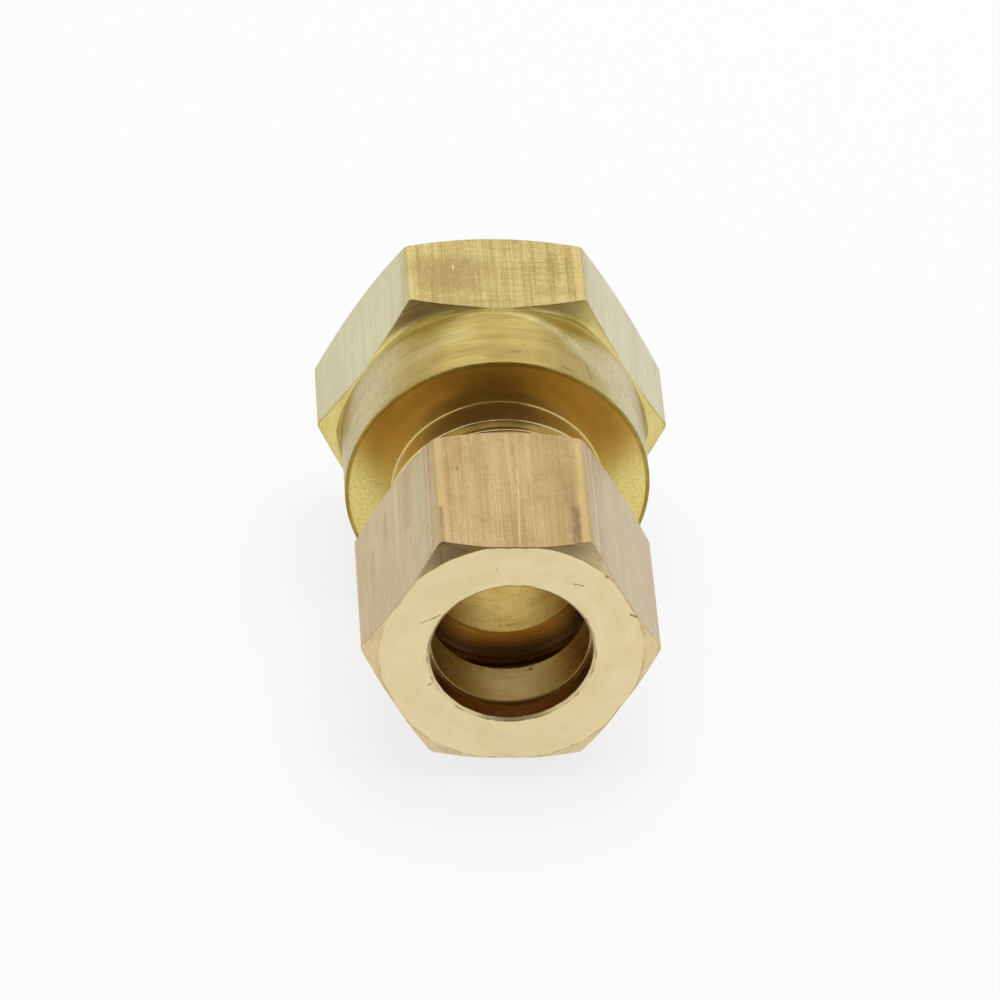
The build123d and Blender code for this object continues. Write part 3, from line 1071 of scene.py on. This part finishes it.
# %% [markdown]
# Now the threads. The male thread and the nut share a pitch and a start, so the nut's ridges lie in
# the grooves with a small gap, at any turn. The pipe thread is tapered, one in sixteen on the
# diameter, and its tap leaves a lead that fades out towards the bottom of the port.

# %% Cut the threads
CREST_FROM_SHOULDER = 2.71 * MM
FIRST_CREST_Y = SHOULDER_Y - CREST_FROM_SHOULDER
THREAD_FORM = {"crest_share": 0.16, "root_share": 0.18}
NUT_THREAD = {"start": FIRST_CREST_Y, "depth": THREAD_DEPTH, "pitch": THREAD_PITCH, **THREAD_FORM}
PIPE_DEPTH = 1.0 * MM
PIPE_MAJOR_AT_MOUTH = 6.72 * MM
PIPE_TAPER = 1 / 32
LEAD_SLOPE = 0.4
NUT_LEAD = 3.4 * MM
PORT_LEAD = 2.8 * MM

cut_thread(
    body,
    zone="male_thread",
    root_radius=THREAD_RADIUS - THREAD_DEPTH,
    **NUT_THREAD,
    finish=finish["body_thread"],
)
cut_thread(
    nut,
    zone="nut_thread",
    root_radius=NUT_MINOR,
    **NUT_THREAD,
    lead_start=NUT_FRONT_Y + NUT_LEAD,
    lead_slope=LEAD_SLOPE,
    inside=True,
    finish=finish["nut_thread"],
)
cut_thread(
    body,
    zone="pipe_thread",
    start=PORT_MOUTH_Y,
    root_radius=PIPE_MAJOR_AT_MOUTH - PIPE_DEPTH,
    depth=PIPE_DEPTH,
    pitch=PIPE_PITCH,
    **THREAD_FORM,
    taper=PIPE_TAPER,
    lead_start=PORT_END_Y + PORT_LEAD,
    lead_slope=LEAD_SLOPE,
    inside=True,
    finish=finish["body_port"],
)

# %% [markdown]
# Each finished piece stands for its solid in the frame and moves with that solid's body.

# %% Ride
for piece, node, body_name, slot in (
    (body, "connector_body", "body", "body_brass"),
    (nut, "compression_nut", "nut", "nut_brass"),
    (ferrule, "ferrule", "sleeve", "ferrule_brass"),
):
    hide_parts(node)
    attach(piece, body_name)
    print(piece.name, "stands for", node)

# %% [markdown]
# The set is a plain white table in a white room. The table is white for the camera and in
# reflections, with enough of its real shading left to keep the shadow.

# %% Floor
FLOOR_SIZE = 3.0
FLOOR_WHITE = 0.77
TABLE_GREY = (0.92, 0.92, 0.92)
WHITE = (1, 1, 1)


def bare_tree(owner):
    """The node tree of a material or a world, switched on and emptied."""
    owner.use_nodes = True
    owner.node_tree.nodes.clear()
    return owner.node_tree


def seen_rays(tree):
    """1 for what the camera, a reflection or a refraction sees, and 0 for diffuse light."""
    paths = put(tree, "ShaderNodeLightPath").outputs
    seen = calc("MAXIMUM", paths["Is Camera Ray"], paths["Is Glossy Ray"])
    return calc("MAXIMUM", seen, paths["Is Transmission Ray"])


def floor_material():
    """White table: partly its own light for the camera and reflections, partly shaded."""
    material = bpy.data.materials.new("white_table")
    tree = bare_tree(material)
    shaded = put(tree, "ShaderNodeBsdfDiffuse", {"Color": TABLE_GREY}).outputs[0]
    glow = put(tree, "ShaderNodeEmission", {"Color": WHITE, "Strength": 1.0}).outputs[0]
    share = times(seen_rays(tree), FLOOR_WHITE)
    mixed = put(tree, "ShaderNodeMixShader", {0: share, 1: shaded, 2: glow}).outputs[0]
    put(tree, "ShaderNodeOutputMaterial", {"Surface": mixed})
    return material


def stage_sheet(name, corners, material):
    """One flat sheet of the set."""
    mesh = bpy.data.meshes.new(name)
    mesh.from_pydata(corners, [], [(0, 1, 2, 3)])
    mesh.materials.append(material)
    sheet = into_scene(name, mesh)
    return sheet


half = FLOOR_SIZE / 2
floor_z = cad_low.z
stage_sheet(
    "table",
    [(-half, -half, floor_z), (half, -half, floor_z), (half, half, floor_z), (-half, half, floor_z)],
    floor_material(),
)
print(f"table at a height of {floor_z:.5f} m")

# %% [markdown]
# Metal shows what stands round it, so a white room alone makes it look flat. A photographer puts cards
# about it, and so does this scene. A dark one stands in front, behind the camera, and bends over the
# part: the chamfers and the groove mirror it. Its lower part is a deeper brown at both sides and a
# lighter one in the middle, which the top flats mirror when they are seen from behind. A bright one
# stands low behind and shines in through the port, down to the tube socket. Neither of them touches
# the shadow on the table.

# %% Cards
DARK = (0.14, 0.122, 0.092)
DARK_LOW = (0.06, 0.02, 0.0)
DARK_MIDDLE = (0.40, 0.30, 0.15)
DARK_Y = -0.75
DARK_LEFT = -0.62
DARK_RIGHT = 0.535
MIDDLE_HALF = 0.16
DARK_TOP = 1.10
DARK_STEP = 0.36
ROOF_Y = 0.20
BRIGHT_STRENGTH = 2.6
BRIGHT_Y = 0.60
BRIGHT_HALF = 0.22
BRIGHT_LOW = 0.06
BRIGHT_HIGH = 0.34


def card_material(name, colour, strength=1.0):
    """Card that looks the same from every side."""
    material = bpy.data.materials.new(name)
    tree = bare_tree(material)
    light = put(tree, "ShaderNodeEmission", {"Color": colour, "Strength": strength}).outputs[0]
    put(tree, "ShaderNodeOutputMaterial", {"Surface": light})
    return material


def reflected_card(name, left, right, foot, head, material):
    """Card from its foot to its head, each a place along Y and a height, which only reflections see."""
    corners = [(left, *foot), (right, *foot), (right, *head), (left, *head)]
    card = stage_sheet(name, corners, material)
    card.visible_camera = False
    card.visible_diffuse = False
    card.visible_shadow = False


dark = card_material("dark_card", DARK)
dark_low = card_material("dark_low_card", DARK_LOW)
dark_middle = card_material("dark_middle_card", DARK_MIDDLE)
bright = card_material("bright_card", WHITE, BRIGHT_STRENGTH)
foot = (DARK_Y, 0.0)
step = (DARK_Y, DARK_STEP)
head = (DARK_Y, DARK_TOP)
roof_end = (ROOF_Y, DARK_TOP)
reflected_card("front_low_left", DARK_LEFT, -MIDDLE_HALF, foot, step, dark_low)
reflected_card("front_low_middle", -MIDDLE_HALF, MIDDLE_HALF, foot, step, dark_middle)
reflected_card("front_low_right", MIDDLE_HALF, DARK_RIGHT, foot, step, dark_low)
reflected_card("front_high", DARK_LEFT, DARK_RIGHT, step, head, dark)
reflected_card("front_roof", DARK_LEFT, DARK_RIGHT, head, roof_end, dark)
bright_foot = (BRIGHT_Y, BRIGHT_LOW)
bright_head = (BRIGHT_Y, BRIGHT_HIGH)
reflected_card("back_card", -BRIGHT_HALF, BRIGHT_HALF, bright_foot, bright_head, bright)
print(f"dark card {DARK_RIGHT - DARK_LEFT:.3f} m wide, bright card {2 * BRIGHT_HALF:.2f} m")

# %% [markdown]
# The room gives an even light, and one large lamp overhead draws the soft shadow. The lamp is left
# out of reflections, so that no hot spot shows on the brass.

# %% World and lamp
ROOM_LIGHT = 0.55
LAMP_PLACE = (0.08, 0.12, 0.8)
LAMP_SIZE = 0.7
LAMP_POWER = 3.6


def studio_world():
    """White room for the camera and reflections, with a plain level of light for the rest."""
    world = bpy.data.worlds.new("studio")
    bpy.context.scene.world = world
    tree = bare_tree(world)
    strength = calc("MAXIMUM", seen_rays(tree), ROOM_LIGHT)
    light = put(tree, "ShaderNodeBackground", {"Color": WHITE, "Strength": strength}).outputs[0]
    put(tree, "ShaderNodeOutputWorld", {"Surface": light})


studio_world()
lamp = bpy.data.lights.new("overhead", "AREA")
lamp.shape = "SQUARE"
lamp.size = LAMP_SIZE
lamp.energy = LAMP_POWER
holder = into_scene("overhead", lamp)
holder.location = LAMP_PLACE
holder.rotation_euler = (-Vector(LAMP_PLACE)).to_track_quat("-Z", "Y").to_euler()
holder.visible_glossy = False
print(f"lamp of {LAMP_POWER} W at {LAMP_PLACE}")

# %% [markdown]
# The photograph looks down along the axis from the tube end with a long lens. The angles, the
# distance and the small roll are those that fit its edges. The nut's front centre goes to its place
# in the picture by turning the camera a little, so no lens shift is needed.

# %% Camera
VIEW_ELEVATION = 36.75
VIEW_AZIMUTH = -4.69
VIEW_ROLL = 2.87
CAMERA_DISTANCE = 0.5023
PICTURE_SIZE = 1000
PIXELS_PER_METRE = 16548
NUT_FRONT_PIXEL = (511.7, 653.8)
SENSOR = 36.0
CLIP_START = 0.01

elevation, azimuth, roll = radians(VIEW_ELEVATION), radians(VIEW_AZIMUTH), radians(VIEW_ROLL)
back = Vector((sin(azimuth) * cos(elevation), -cos(azimuth) * cos(elevation), sin(elevation)))
level = Vector((cos(azimuth), sin(azimuth), 0))
upright = back.cross(level)
right = level * cos(roll) + upright * sin(roll)
up = back.cross(right)
focal_pixels = PIXELS_PER_METRE * CAMERA_DISTANCE
offset = Vector(NUT_FRONT_PIXEL) - Vector((PICTURE_SIZE / 2, PICTURE_SIZE / 2))
seen_at = Vector((offset.x / focal_pixels, -offset.y / focal_pixels, -1)).normalized()
aim_turn = seen_at.rotation_difference(Vector((0, 0, -1))).to_matrix()
turned = Matrix((right, up, back)).transposed() @ aim_turn

camera_data = bpy.data.cameras.new("camera")
camera_data.sensor_width = SENSOR
camera_data.lens = focal_pixels * SENSOR / PICTURE_SIZE
camera_data.clip_start = CLIP_START
camera = into_scene("camera", camera_data)
nut_front_centre = Vector((0, NUT_FRONT_Y, 0))
camera.matrix_world = Matrix.Translation(nut_front_centre + back * CAMERA_DISTANCE) @ turned.to_4x4()
bpy.context.scene.camera = camera
bpy.context.scene.view_settings.view_transform = "Standard"
print(f"lens {camera_data.lens:.1f} mm")
